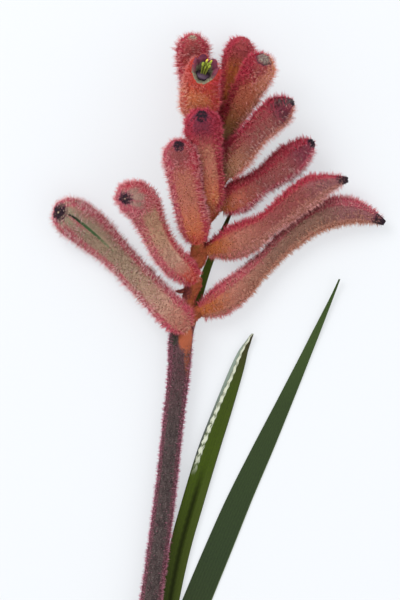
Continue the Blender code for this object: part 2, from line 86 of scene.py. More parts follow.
# Flowers. The half depths are those of the ovary, the neck and the head. A route is the four
# control points of the centreline, from the ovary to the tip. Then come the colours along the
# tube, on its two sides, and at the hairs' tips. The belly is the side towards which the head
# bends. The ovary is widest at a length from the joint with the flower stalk, and the joint is off
# the route's start. A blunt head is 1, a slender one is 0. The dark tip, its heart, the neck and
# the widest place of the head are at shares of the length.
NOWHERE = 1.2  # a share past every tip
Flower = namedtuple(
    "Flower",
    "name half_depths hair_mm dark_from route foot base flank head pale_side deep_side"
    " mid_tip head_tip pale_tip deep_tip belly ovary_mm joint blunt neck_at head_at"
    " heart_from heart",
    defaults=[UP, 6.0, (0.0, 0.0, 0.0), 1.0, 0.45, 0.78, NOWHERE, SAGE],
)
FLOWERS = [
    Flower(
        "flower_left_1", (3.0, 2.8, 3.9), 2.0, 0.984,
        [(-7.8, 23.0, 11.1), (-17.1, 30.0, 7.0), (-32.0, 50.5, -4.7), (-40.1, 51.3, 10.8)],
        CLAY, BUFF, SAND, SAGE, ROSE, ROSE, CREAM, CREAM, BLUSH, BLUSH,
        ovary_mm=4.2, joint=(-0.6, -0.6, -2.4), heart_from=1.06,
    ),
    Flower(
        "flower_left_2", (3.0, 2.8, 3.9), 2.0, 0.99,
        [(-6.2, 35.6, 9.6), (-17.5, 39.8, 11.8), (-17.0, 58.3, 9.6), (-23.4, 54.4, 19.4)],
        SCARLET, BUFF, FAWN, DUSK, ROSE, CRIMSON, CREAM, PINK, PINK, PINK,
        (-0.3, -0.8, 0.5), 4.2, (0.0, -0.8, -1.8), heart_from=1.06,
    ),
    Flower(
        "flower_left_3", (2.9, 3.0, 3.3), 1.9, 0.985,
        [(-5.3, 44.4, 8.0), (-6.9, 50.5, 13.2), (-9.7, 65.3, 16.6), (-9.9, 68.0, 23.0)],
        SCARLET, APRICOT, CORAL, BRICK, ROSE, CRIMSON, PEACH, PINK, PINK, PINK, blunt=0.5,
    ),
    Flower(
        "flower_left_4", (2.3, 2.2, 3.5), 1.9, 0.987,
        [(-2.3, 52.8, 8.6), (-0.4, 58.9, 15.2), (-4.4, 71.0, 15.5), (-4.2, 75.4, 24.0)],
        RUST, APRICOT, CORAL, WINE, CRIMSON, CLARET, STRAW, CRIMSON, ROSE, ROSE, blunt=0.7,
    ),
    Flower(
        "flower_left_5", (2.6, 3.75, 3.15), 2.2, 0.985,
        [(-2.6, 69.4, 9.4), (-5.6, 75.5, 13.6), (-5.2, 83.2, 15.8), (-2.9, 88.0, 22.0)],
        RUST, APRICOT, APRICOT, SCARLET, SCARLET, SCARLET, STRAW, APRICOT, SHELL, ROSE,
        blunt=0.5, heart_from=0.997,
    ),
    Flower(
        "flower_left_6", (2.4, 2.5, 3.15), 2.2, NOWHERE,
        [(-3.4, 70.1, 5.0), (-6.4, 77.9, 5.4), (-6.7, 89.6, 5.4), (-6.4, 95.0, 12.0)],
        RUST, APRICOT, SCARLET, GARNET, CRIMSON, CRIMSON, PEACH, SHELL, PINK, PINK,
        blunt=0.7, heart_from=0.997,
    ),
    Flower(
        "flower_right_1", (3.4, 2.3, 3.4), 1.9, 0.955,
        [(-4.4, 26.7, 4.8), (12.9, 33.0, 3.1), (21.4, 61.0, 4.5), (41.7, 48.6, 3.9)],
        AMBER, CLAY, TAUPE, MAUVE, NUDE, ROSE, CREAM, SHELL, FAWN, PINK,
        (0.1, -1.0, 0.1), 7.5, blunt=0.2, neck_at=0.36,
    ),
    Flower(
        "flower_right_2", (3.7, 2.6, 3.25), 1.9, 0.94,
        [(-2.6, 42.0, 5.6), (16.3, 45.6, 7.5), (17.4, 58.3, 10.2), (32.4, 59.4, 9.8)],
        AMBER, CLAY, BRICK, MAUVE, NUDE, CRIMSON, PEACH, SHELL, PINK, ROSE,
        (0.3, -0.8, 0.5), 7.0, blunt=0.0, neck_at=0.36,
    ),
    Flower(
        "flower_right_3", (3.5, 2.6, 3.35), 2.0, 0.972,
        [(0.4, 53.2, 4.9), (8.2, 56.0, 6.9), (18.3, 64.4, 6.4), (23.6, 68.9, 10.6)],
        AMBER, COPPER, BRICK, WINE, ROSE, CRIMSON, SHELL, PINK, BLUSH, ROSE,
        (-0.4, 0.6, 0.7), blunt=0.35, neck_at=0.4, head_at=0.7,
    ),
    Flower(
        "flower_right_4", (3.1, 2.75, 3.2), 2.1, 0.985,
        [(1.8, 61.2, 7.8), (5.8, 67.7, 15.0), (13.4, 76.1, 14.0), (18.5, 78.6, 17.6)],
        OLIVE, TAN, BRICK, WINE, CORAL, CLARET, CREAM, ROSE, BLUSH, ROSE,
        (-0.3, 0.4, 0.9), blunt=0.15,
    ),
    Flower(
        "flower_right_5", (2.2, 2.7, 3.0), 2.1, 0.968,
        [(1.4, 69.8, 7.7), (4.9, 78.1, 8.8), (9.4, 84.9, 12.0), (11.4, 89.5, 19.8)],
        OLIVE, UMBER, COPPER, GARNET, MELON, CLARET, PEACH, PINK, PINK, CRIMSON,
        blunt=0.7, heart_from=0.979, heart=LICHEN,
    ),
    Flower(
        "flower_right_6", (2.2, 2.4, 3.05), 1.9, NOWHERE,
        [(1.5, 70.3, 3.8), (2.8, 77.6, 3.3), (3.9, 88.8, 1.9), (6.7, 94.9, 6.0)],
        OLIVE, UMBER, AMBER, GARNET, CRIMSON, CRIMSON, PEACH, ROSE, PINK, ROSE,
        (0.2, 0.0, -1.0), blunt=0.5,
    ),
]
OPEN_FLOWER = "flower_left_5"
SPLIT_FLOWER = "flower_left_1"
SMUDGED_FLOWER = "flower_right_4"
STREAKED_TIPS = ("flower_left_3", "flower_left_4")
BROKEN_FROM = 0.4  # the bluntness from which a dark tip is broken up
SMUDGE_AT, SMUDGE_SIZE = (16.2, 78.9), (2.6, 1.6)
SMUDGE_SHARES = (0.74, 0.86)  # of the flower's length, for the hairs on the smudge
MOUTH_RED = (0.6, 0.8)  # the shares over which the open flower's hairs redden
WIDE, LOBES, RINGS = 1.2, 6, 84
SIDES = 8 * LOBES
FINE_FROM, FINE_RINGS = 0.86, 22  # the rings lie closer from a share of the length on
JOINT_R, FOOT_SHARE, HEAD_AT = 1.65, 0.14, 0.78
BEAK_R, BEAK_NOTCH, BEAK_DIMPLE = 0.62, 0.3, 0.3
DIMPLE_DEPTHS = (0.35, 0.7, 0.93)
MOUTH_R, MOUTH_WALL, MOUTH_LIP, MOUTH_TAPER, MOUTH_NOTCH = 2.6, 1.15, 0.35, 0.2, 1.5
MOUTH_CUT = 4.6  # how much shorter the open flower is on its belly
CUT_FROM, MOUTH_FLOOR = 0.6, 0.79  # shares where the cut starts and the cup ends
CUP_DEPTHS = (0.015, 0.1, 0.3, 0.55, 0.8, 1.0)
RIB, BEAK_RIB = 0.035, 0.08
SLIT_FROM, SLIT_END, SLIT_DEPTH, SLIT_HALF_ANGLE = 0.54, 0.97, 0.75, 0.08
SLIT_BARE = 0.14  # the angle beside the slit without hairs
HOOD = (0.5, 0.75)  # the shares over which the red sides come to run round the hood
SKIN_SHADE = 0.5  # how far the skin is darkened between its hairs
INNER_MAP = 0.1  # the share of the skin's map past the tip, for the inside
COARSE_STEPS = np.linspace(0, FINE_FROM, RINGS - FINE_RINGS, endpoint=False)
STEPS = np.concatenate([COARSE_STEPS, np.linspace(FINE_FROM, 1, FINE_RINGS)])
ANGLES = np.linspace(0, TURN, SIDES, endpoint=False)
FURROWS = 0.5 + 0.5 * np.cos(LOBES * ANGLES)

# Stamens of the open flower
FILAMENT_R, ANTHER_R, ANTHER_FROM = 0.15, 0.29, 0.72
STAMEN_FAN, STAMEN_SPREAD = 0.62, (0.45, 0.95)
STAMEN_TOP, STAMEN_DROPS = 1.05, (0.05, 0.0, 0.07, 0.03, 0.08, 0.06, 0.09)
STAMEN_FOOT, STAMEN_STEPS, STAMEN_SIDES = 0.8, 26, 12
POLLEN_Y = (88.3, 88.8)  # above it on the table the anthers are ripe
GAP = 0.3
COLLAR = 0.25  # how far a flower's skin reaches back into the gap at its joint

# Stalk: points of its axis, as high as the leaves go
STALK = np.array([
    (-25.1, -95.6, 4.8), (-21.1, -70.6, 4.8), (-16.9, -45.6, 4.4), (-13.5, -20.6, 4.2),
    (-12.1, -8.1, 4.2), (-10.7, 4.4, 4.2), (-9.9, 12.0, 4.3), (-9.5, 18.5, 4.4),
    (-8.8, 22.5, 4.4), (-8.1, 26.2, 4.4), (-7.3, 30.4, 4.4), (-6.2, 36.9, 4.4),
    (-5.2, 41.9, 4.4), (-3.9, 47.4, 4.4), (-2.4, 52.6, 4.4), (-1.4, 57.6, 4.5),
])
STEM_TOP = 22.0  # where the dark felted stem turns into the flowers' axis
HAIRY_FROM = -60.0  # below it the leaves wrap the stem
STALK_RUN = (0.13, 0.99, 0.0)  # the way the stalk grows
RIND_AT, RIND_SIZE = (-8.2, 19.9), (2.0, 3.4)  # where orange rind shows on the stem
STALK_PATCHES = (  # centre, half size and colour
    # The reddish strip down the stem's right edge: partly the stem's own red and partly painted
    # backlight.
    ((-7.4, 14.4), (1.2, 4.8), (0.25, 0.075, 0.046)),
    (RIND_AT, RIND_SIZE, (0.40, 0.105, 0.05)),
    # Painted shadow: the near-black patch on the stem below flower_left_1's base.
    ((-11.7, 19.6), (1.7, 1.9), (0.05, 0.046, 0.036)),
    ((-5.9, 43.8), (1.6, 2.2), (0.26, 0.10, 0.03)),
    ((-8.9, 31.3), (2.2, 2.4), (0.15, 0.034, 0.034)),
)

# Hairs of the stem and the flowers' axis: the heights they grow between, the longest, how many to
# a flower's, and the colours of roots and tips, each in the middle and at the edge
# The redder colours at the edge are partly the hairs' own red and partly painted backlight.
STALK_HAIRS = {
    "stem": (
        HAIRY_FROM, STEM_TOP, 1.15, 1.3,
        ((0.065, 0.043, 0.044), (0.22, 0.04, 0.08)), ((0.18, 0.14, 0.13), (0.72, 0.26, 0.37)),
    ),
    "axis": (STEM_TOP, 80.0, 0.75, 0.7, (RUST, COPPER), (COPPER, ROSE)),
}

# Leaves: points of the midline with the half width and the edges' rise as a share of it. The
# sheath is a radius, an angle round the stem and a half angle, and turns into the blade over a
# stretch of heights. The fold is where the crease runs, as a share of the half width. The margin
# is the folded leaf's far half: heights with its share of the width there.
LEAF_THICK = 0.6
LOW = LEAF_THICK / 2  # the height of a blade that lies on the table
Leaf = namedtuple(
    "Leaf", "name midline sheath turn greens vein edge fold margin", defaults=[0.0, ()]
)


def flat(*rows):
    """Rows of a midline that lies on the table, from places and half widths."""
    return [(x, y, LOW, half, 0.0) for x, y, half in rows]


LEAVES = [
    Leaf(
        "leaf_broad",
        flat(
            (-23.9, -93.0, 3.6), (-18.4, -81.0, 3.6), (-14.6, -70.0, 3.6), (-10.2, -58.1, 3.6),
            (-5.2, -45.6, 3.56), (0.0, -33.1, 3.45), (5.3, -20.6, 3.16), (11.1, -8.1, 2.68),
            (16.9, 4.4, 1.96),
        ) + [
            (22.6, 16.9, 0.6, 1.23, 0.02), (28.2, 29.4, 1.4, 0.45, 0.05),
            (30.4, 34.6, 2.0, 0.2, 0.05),
        ],
        (4.35, -30.0, 110.0), (-79.0, -61.0),
        [
            (0.0, (0.20, 0.19, 0.10)), (0.2, (0.032, 0.045, 0.016)),
            (0.45, (0.028, 0.045, 0.018)), (0.75, (0.034, 0.054, 0.018)),
            (1.0, (0.06, 0.10, 0.025)),
        ],
        (0.054, 0.078, 0.034), (0.09, 0.12, 0.05),
    ),
    Leaf(
        "leaf_folded",
        [
            (-23.4, -92.0, 1.6, 2.6, 0.2), (-19.0, -78.0, 1.6, 2.6, 0.2),
            (-16.4, -68.0, 1.6, 2.6, 0.3), (-13.9, -56.0, 1.2, 2.5, 0.4),
            (-12.2, -45.6, 0.6, 2.4, 0.5), (-9.7, -33.1, 0.4, 2.65, 0.55),
            (-6.2, -20.6, 0.4, 2.75, 0.5), (-2.4, -8.1, 0.4, 2.72, 0.4),
            (1.1, 1.9, 0.4, 2.35, 0.3), (4.6, 11.9, 0.7, 1.76, 0.2),
            (6.2, 16.4, 1.0, 1.2, 0.15), (7.5, 18.9, 1.2, 0.7, 0.1),
            (8.5, 20.9, 1.4, 0.2, 0.1),
        ],
        (3.3, -10.0, 84.0), (-72.0, -52.0),
        [
            (0.0, (0.19, 0.18, 0.08)), (0.22, (0.03, 0.038, 0.006)),
            (0.4, (0.031, 0.044, 0.006)), (0.55, (0.038, 0.056, 0.005)),
            (0.7, (0.046, 0.074, 0.005)), (0.88, (0.044, 0.066, 0.008)),
            (1.0, (0.05, 0.036, 0.02)),
        ],
        (0.06, 0.088, 0.014), (0.05, 0.06, 0.02),
        0.36,
        ((-24.0, 0.06), (-10.0, 0.07), (3.0, 0.14), (11.0, 0.28), (16.0, 0.30)),
    ),
    Leaf(
        "leaf_narrow",
        flat(
            (-26.0, -93.0, 1.5), (-22.6, -75.0, 1.5), (-19.2, -55.0, 1.5), (-15.9, -32.0, 1.5),
            (-13.0, -8.0, 1.45), (-10.2, 10.0, 1.35), (-6.2, 26.0, 1.15), (-2.9, 37.0, 0.95),
            (0.8, 46.0, 0.65), (3.4, 52.0, 0.3),
        ),
        (3.3, -145.0, 32.0), (-60.0, -44.0),
        [
            (0.0, (0.13, 0.13, 0.06)), (0.3, (0.04, 0.048, 0.014)),
            (0.72, (0.05, 0.065, 0.01)), (0.82, (0.085, 0.145, 0.018)),
            (0.92, (0.07, 0.12, 0.014)), (1.0, (0.056, 0.054, 0.014)),
        ],
        (0.07, 0.085, 0.025), (0.06, 0.06, 0.02),
    ),
]
LEAF_STATIONS, LEAF_ACROSS = 240, 28
VEINS, VEIN_RELIEF = 9, 0.03
EDGE_SHARE = 0.35  # a blade's thickness at its edges to that in its middle
EDGE_ANGLE = 60.0  # from which an edge is drawn sharp
MARGIN_AT, MARGIN_STEP, MARGIN_FADE = 0.25, 0.3, 6.0
TOOTH_PITCH, TOOTH_DEPTH = 1.9, 0.26
BEADS = 44.0  # along the whole folded leaf

# Coats of hair. The length and its spread are shares of the longest. A hair strays along and
# across, tufts pull it together, and the top is how far up a hair's colours it goes.
Coat = namedtuple("Coat", "per_mm2 radius length spread along across tufts_per_mm2 pull top")
COATS = (
    Coat(6.5, 0.050, 0.25, 0.30, 0.18, 0.60, 1.6, 0.2, 0.5),
    Coat(6.2, 0.076, 0.55, 0.45, 0.10, 0.85, 1.3, 0.4, 0.98),
)
HAIR_SUNK, HAIR_LEAN, SHORTEST_HAIR = 0.1, 0.12, 0.2
SHORT_FROM = 0.92  # the share from which a flower's hairs get shorter and fewer
RAY_FROM, NEIGHBOUR_CLEAR, FLOOR_CLEAR = 0.06, 0.08, 0.1
TINTS = 8
HAIR_MAP = "OFBake"
MATT = 0.1  # specular level of the felted surfaces


def unit(v):
    return v / norm(v, axis=-1, keepdims=True)


def smoothstep(x, low=0.0, high=1.0):
    x = np.clip((x - low) / (high - low), 0, 1)
    return x * x * (3 - 2 * x)


def grid_of(rows, columns):
    """Row and column numbers of a grid's cells."""
    return (x.ravel() for x in np.meshgrid(np.arange(rows), np.arange(columns), indexing="ij"))


def add_object(name, data, place=(0.0, 0.0, 0.0)):
    made = bpy.data.objects.new(name, data)
    bpy.context.scene.collection.objects.link(made)
    made.location = Vector(place) * METRES_PER_MM
    return made


def add_camera():
    data = bpy.data.cameras.new("camera")
    data.sensor_width = SENSOR
    data.lens = SENSOR * CAMERA_DISTANCE / (PHOTO_SIZE[1] * MM_PER_PX)
    data.clip_start, data.clip_end = 0.1, 20.0
    middle = (np.array(PHOTO_SIZE) / 2 - ORIGIN_PX) * (MM_PER_PX, -MM_PER_PX)
    place = (*(middle - FOOTPRINT_CENTRE[:2]), CAMERA_DISTANCE + OBJECT_HEIGHT)
    bpy.context.scene.camera = add_object("camera", data, place)


# Meshes


def new_mesh(name, points, faces, corner_uv=None, uv_name=HAIR_MAP):
    """A smooth object from points in millimetres."""
    mesh = bpy.data.meshes.new(name)
    places = (np.asarray(points, float) - FOOTPRINT_CENTRE) * METRES_PER_MM
    mesh.from_pydata(places.tolist(), [], [list(face) for face in faces])
    if corner_uv is not None:
        layer = mesh.uv_layers.new(name=uv_name)
        layer.uv.foreach_set("vector", np.asarray(corner_uv, np.float32).ravel())
    mesh.shade_smooth()
    return add_object(name, mesh)


def face_outwards(piece):
    tidy = bmesh.new()
    tidy.from_mesh(piece.data)
    bmesh.ops.recalc_face_normals(tidy, faces=tidy.faces)
    tidy.to_mesh(piece.data)
    tidy.free()


def finish_piece(piece, slot, material, replaced=None):
    piece.data.materials.append(material)
    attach(piece, "root")
    if replaced:
        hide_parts(replaced)


def triangles_mm(obj):
    """An object's points and triangles, in the millimetres of the routes."""
    mesh = obj.data
    mesh.calc_loop_triangles()
    points = np.array([v.co for v in mesh.vertices]) / METRES_PER_MM + FOOTPRINT_CENTRE
    return points, np.array([t.vertices[:] for t in mesh.loop_triangles])


# Shader graphs


class Wire:
    """A number or a colour in a shader graph. What is done with it adds nodes."""

    def __init__(self, graph, socket):
        self.graph, self.socket = graph, socket

    def math(self, operation, other=0.0):
        return self.graph.out("Math", {0: self, 1: other}, operation=operation)

    __add__, __sub__ = partialmethod(math, "ADD"), partialmethod(math, "SUBTRACT")
    __mul__, __truediv__ = partialmethod(math, "MULTIPLY"), partialmethod(math, "DIVIDE")
    __abs__ = partialmethod(math, "ABSOLUTE")

    def span(self, low, high, out_high=1.0, out_low=0.0):
        """A smooth step from low to high."""
        inputs = {0: self, 1: low, 2: high, 3: out_low, 4: out_high}
        return self.graph.out("MapRange", inputs, interpolation_type="SMOOTHSTEP")

    def within(self, low, high, soft):
        """One between low and high, zero outside, with soft borders."""
        return self.span(low - soft, low + soft) * self.span(high - soft, high + soft, 0.0, 1.0)

    def mix(self, factor, other):
        """This colour with a share of another."""
        return self.graph.mix(factor, self, other)


class Graph:
    """The node tree of one new material."""

    def __init__(self, name, roughness, specular=MATT):
        self.material = bpy.data.materials.new(name)
        self.material.use_nodes = True
        self.tree = self.material.node_tree
        self.shader = self.tree.nodes["Principled BSDF"].inputs
        self.fill(self.shader, {"Roughness": roughness, "Specular IOR Level": specular})

    def fill(self, sockets, values):
        for key, value in dict(values).items():
            if isinstance(value, Wire):
                self.tree.links.new(value.socket, sockets[key])
            elif isinstance(value, tuple) and sockets[key].type == "RGBA":
                sockets[key].default_value = (*value, 1)
            else:
                sockets[key].default_value = value

    def node(self, kind, inputs=(), **settings):
        made = self.tree.nodes.new("ShaderNode" + kind)
        for key, value in settings.items():
            setattr(made, key, value)
        self.fill(made.inputs, inputs)
        return made

    def out(self, kind, inputs=(), output=0, **settings):
        return Wire(self, self.node(kind, inputs, **settings).outputs[output])

    def mix(self, factor, a, b):
        return self.out("Mix", {0: factor, 6: a, 7: b}, 2, data_type="RGBA")

    def ramp(self, factor, stops):
        made = self.node("ValToRGB", {0: factor})
        elements = made.color_ramp.elements
        while len(elements) < len(stops):
            elements.new(0.5)
        for element, (place, colour) in zip(elements, stops):
            element.position = place
            element.color = (*colour, 1)
        return Wire(self, made.outputs[0])

    def noise(self, scale, detail=3.0, vector=None):
        vector = vector or self.out("TexCoord", output="Object")
        inputs = {"Scale": scale, "Detail": detail, "Roughness": 0.6, "Vector": vector}
        return self.out("TexNoise", inputs)

    def stretched_noise(self, scale, along, across, stretch):
        """Noise drawn out along a map's first direction."""
        return self.noise(scale, 3.0, self.out("CombineXYZ", {0: along * stretch, 1: across}))

    def split(self, vector):
        return [Wire(self, x) for x in self.node("SeparateXYZ", {0: vector}).outputs[:2]]

    def map(self, name):
        return self.split(self.out("UVMap", uv_map=name))

    def towards(self, direction):
        """How far the surface faces a direction, from -1 to 1."""
        inputs = {0: self.out("TexCoord", output="Normal"), 1: direction}
        return self.out("VectorMath", inputs, "Value", operation="DOT_PRODUCT")

    def paint(self, colour, height=None, strength=0.0, relief_mm=0.0):
        """The material, with a colour and a relief."""
        self.fill(self.shader, {"Base Color": colour})
        if height:
            inputs = {"Strength": strength, "Distance": relief_mm * METRES_PER_MM, "Height": height}
            self.fill(self.shader, {"Normal": self.out("Bump", inputs)})
        return self.material


# Flower shapes


def bezier(route, t):
    """Points and speeds of a route."""
    a, b, c, d = np.array(route)
    t = t[:, None]
    points = (1 - t) ** 3 * a + 3 * (1 - t) ** 2 * t * b + 3 * (1 - t) * t**2 * c + t**3 * d
    return points, 3 * ((1 - t) ** 2 * (b - a) + 2 * (1 - t) * t * (c - b) + t**2 * (d - c))


def flower_length(flower):
    fine = bezier(flower.route, np.linspace(0, 1, 60))[0]
    return norm(np.diff(fine, axis=0), axis=1).sum()


def half_depths(t, flower, end_r):
    """A flower's half depth along its length: joint, ovary, neck, head, beak."""
    ovary, neck, head = flower.half_depths
    ovary_at = flower.ovary_mm / flower_length(flower)
    neck_at, head_at = flower.neck_at, flower.head_at
    share = np.clip((t - head_at) / (1 - head_at), 0, 1)
    start, finish = 0.85 + 2.65 * flower.blunt, 1.0 - 0.3 * flower.blunt
    beak = end_r + (head - end_r) * (1 - share**start) ** finish
    foot = JOINT_R + (ovary - JOINT_R) * np.sin(math.pi / 2 * np.clip(t / ovary_at, 0, 1))
    tube = ovary + (neck - ovary) * smoothstep(t, ovary_at, neck_at)
    bell = neck + (head - neck) * smoothstep(t, neck_at, head_at)
    return np.select([t < ovary_at, t < neck_at, t < head_at], [foot, tube, bell], beak)


def flower_frames(flower, t):
    """Centres, tangents, belly and side directions at shares of a flower's length."""
    to_foot = np.maximum(0, 1 - t[:, None] / FOOT_SHARE)
    joint = np.array(flower.joint)
    points, speeds = bezier(flower.route, t)
    tangents = unit(speeds - 2 * to_foot / FOOT_SHARE * joint)
    belly = np.array(flower.belly)
    belly = unit(belly - (tangents @ belly)[:, None] * tangents)
    return points + to_foot**2 * joint, tangents, belly, np.cross(tangents, belly)


def flower_points(flower, shares, end_r, inset=0.0):
    """Points at a table of shares of the length, a row for each ring."""
    t = shares.ravel()
    centres, _, belly, side = flower_frames(flower, t)
    angle, furrow = (np.tile(x, len(shares)) for x in (ANGLES, FURROWS))
    rib = RIB + (BEAK_RIB - RIB) * smoothstep(t, HEAD_AT, 1)
    rib = rib * smoothstep(t, 0, 0.06)
    reach = (half_depths(t, flower, end_r) - inset) * (1 + rib * (0.5 - 1.5 * furrow**3))
    if flower.name == SPLIT_FLOWER:
        along = np.clip((t - SLIT_FROM) / (1 - SLIT_FROM), 0, 1)
        groove = np.exp(-((np.minimum(angle, TURN - angle) / SLIT_HALF_ANGLE) ** 2))
        reach -= SLIT_DEPTH * np.sin(math.pi * along) ** 0.7 * groove
    wide = 1 + (WIDE - 1) * smoothstep(t, 0, 0.03)
    across = np.cos(angle)[:, None] * belly + (wide * np.sin(angle))[:, None] * side
    return (centres + reach[:, None] * across).reshape(len(shares), -1, 3)


def flower_rings(flower):
    """A flower's outside, ring by ring, with each point's share of the length."""
    shares = np.repeat(STEPS[:, None], SIDES, axis=1)
    if flower.name == OPEN_FLOWER:
        belly_cut = MOUTH_CUT * np.maximum(0, np.cos(ANGLES)) ** 2
        lobe_cut = MOUTH_NOTCH * FURROWS**2 * (1 - np.maximum(0, np.cos(ANGLES)) ** 8)
        shortened = np.maximum(0, (shares - CUT_FROM) / (1 - CUT_FROM))
        shares = shares - shortened * (belly_cut + lobe_cut) / flower_length(flower)
        return flower_points(flower, shares, MOUTH_R), shares
    points = flower_points(flower, shares, BEAK_R)
    tangents = flower_frames(flower, STEPS)[1]
    pull = smoothstep(STEPS - 0.95, 0, 0.05)[:, None] * BEAK_NOTCH * FURROWS**2
    return points - pull[..., None] * tangents[:, None], shares


def flower_inside(flower, points, shares):
    """Rings of the open flower's cup or a closed beak's dimple, with their depths."""
    if flower.name == OPEN_FLOWER:
        rings = []
        for deep in CUP_DEPTHS:
            wall = MOUTH_LIP + (MOUTH_WALL - MOUTH_LIP) * smoothstep(deep, 0, 0.3)
            table = (shares[-1] + deep * (MOUTH_FLOOR - shares[-1]))[None]
            rings.append(flower_points(flower, table, MOUTH_R, wall + deep * MOUTH_TAPER)[0])
        return rings, CUP_DEPTHS
    centre, tangent = (x[-1] for x in flower_frames(flower, np.array([0.99, 1.0]))[:2])
    floor = centre - BEAK_DIMPLE * tangent
    return [points[-1] * (1 - d) + floor * d for d in DIMPLE_DEPTHS], DIMPLE_DEPTHS


def tube_quads(rings, sides):
    """Quads between a tube's rings, with each corner's ring and place round it."""
    i, k = grid_of(rings - 1, sides)
    n = (k + 1) % sides
    faces = np.stack([i * sides + k, i * sides + n, (i + 1) * sides + n, (i + 1) * sides + k], 1)
    along = np.stack([i, i, i + 1, i + 1], 1)
    around = np.stack([k, k + 1, k + 1, k], 1) / sides
    return faces, along, around


def lidded_tube(name, rings, places, uv_name):
    """A closed tube through rings, with flat lids and a map of places along and round."""
    rings = np.array(rings)
    count, sides = rings.shape[:2]
    faces, along, around = tube_quads(count, sides)
    order = np.arange(sides)
    lids = [order[::-1], (count - 1) * sides + order]
    table = np.stack([np.repeat(places, sides), np.tile(order / sides, count)], 1)
    uv = [np.stack([np.array(places)[along], around], 2).reshape(-1, 2)]
    uv += [table[lid] for lid in lids]
    points = rings.reshape(-1, 3)
    points[:, 2] = np.maximum(points[:, 2], 0.0)
    faces = faces.tolist() + [lid.tolist() for lid in lids]
    return new_mesh(name, points, faces, np.concatenate(uv), uv_name)


def flower_skin(flower):
    """A flower's closed skin and the rings of its outside."""
    points, shares = flower_rings(flower)
    inner, depths = flower_inside(flower, points, shares)
    places = np.array([0.0, *STEPS, *(1 + INNER_MAP * deep for deep in depths)]) / (1 + INNER_MAP)
    joint = points[0] - COLLAR * flower_frames(flower, np.zeros(1))[1]
    skin = lidded_tube(flower.name + "_skin", [joint, *points, *inner], places, "Skin")
    return skin, points, shares


# Flower skins


def deep_direction(flower):
    """The direction on the table to which a flower's redder side faces."""
    along = np.array(flower.route[3]) - flower.route[0]
    across = unit(np.array([-along[1], along[0], 0.0]))
    return across if "right" in flower.name else -across


def tube_colours(flower):
    tints = flower.foot, flower.base, flower.flank, flower.flank, flower.head
    return list(zip((0.06, 0.16, 0.42, 0.66, 0.84), tints))


def add_slit(graph, colour, place, around):
    """The green slit in the belly of the split flower."""
    slit = abs(around - 0.5).span(0.482, 0.494) * place.within(SLIT_FROM, SLIT_END, 0.02)
    greens = [(0.56, (0.22, 0.20, 0.12)), (0.68, (0.05, 0.10, 0.04)), (0.8, (0.05, 0.11, 0.045))]
    return colour.mix(slit, graph.ramp(place, greens + [(0.95, BLACK)]))


def mouth_colours(graph, place, around, mottle, flecks):
    """The lobes' faces and the speckled cup of the open flower."""
    cup = graph.mix(flecks, (0.25, 0.23, 0.15), (0.09, 0.06, 0.06))
    lobe = graph.mix(mottle.span(-0.15, 0.15), PLUM, (0.20, 0.045, 0.075))
    return cup.mix(around.within(0.16, 0.84, 0.05), lobe).mix(place.span(1.02, 1.045), cup)


def skin_material(flower):
    """The tube's colours, redder to both sides, with the dark tip and its heart."""
    name, is_open = flower.name, flower.name == OPEN_FLOWER
    graph = Graph(name + "_skin", 0.75)
    place, around = graph.map("Skin")
    place = place * (1 + INNER_MAP)
    mottle = graph.noise(600.0) - 0.5
    flank = graph.ramp(place + mottle * 0.08, tube_colours(flower))
    facing = graph.towards(deep_direction(flower)) + mottle * 0.3
    up = graph.towards(UP)
    rim = facing.math("SIGN") * (up * up * -1.0 + 1.0).math("SQRT")
    side = facing + place.span(*HOOD) * (rim - facing)
    colour = flank.mix(side.span(0.35, 0.85, 0.9), flower.deep_side)
    colour = colour.mix(side.span(-0.9, -0.5, 0.0, 0.9), flower.pale_side)
    colour = colour.mix(graph.noise(5200.0, 2.0).span(0.35, 0.65, SKIN_SHADE, 0.25), BLACK)
    if name == SPLIT_FLOWER:
        colour = add_slit(graph, colour, place, around)
    ragged = place + (graph.noise(1900.0) - 0.5) * 0.035
    if name in STREAKED_TIPS:
        ragged = ragged + (around * TURN).math("COSINE").span(0.6, 1.0, 0.02)
    lobes = around.within(0.27, 0.73, 0.06) if is_open else 1.0
    if flower.blunt > BROKEN_FROM:
        lobes = graph.noise(1700.0).span(0.34, 0.5, 1.0, 0.45) * lobes
    for low, high, most, tint in ((-0.016, 0.004, 1.0, PLUM), (-0.002, 0.006, 0.9, BLACK)):
        dark = ragged.span(flower.dark_from + low, flower.dark_from + high, most)
        colour = colour.mix(dark * lobes, tint)
    flecks = graph.noise(3600.0).span(0.5, 0.62)
    heart, soft = graph.mix(graph.noise(2900.0).span(0.4, 0.62, 0.85), flower.heart, PLUM), 0.011
    if is_open:
        heart, soft = mouth_colours(graph, place, around, mottle, flecks), 0.003
    colour = colour.mix(ragged.span(flower.heart_from - soft, flower.heart_from + soft), heart)
    if name == SMUDGED_FLOWER:
        smudge = patch(stalk_place(graph), SMUDGE_AT, SMUDGE_SIZE, graph.noise(1500.0))
        colour = colour.mix(smudge * 0.9, graph.mix(flecks, SOOT, (0.16, 0.13, 0.10)))
    return graph.paint(colour, graph.noise(4200.0, 4.0), 0.5, 0.12)


# Hairs


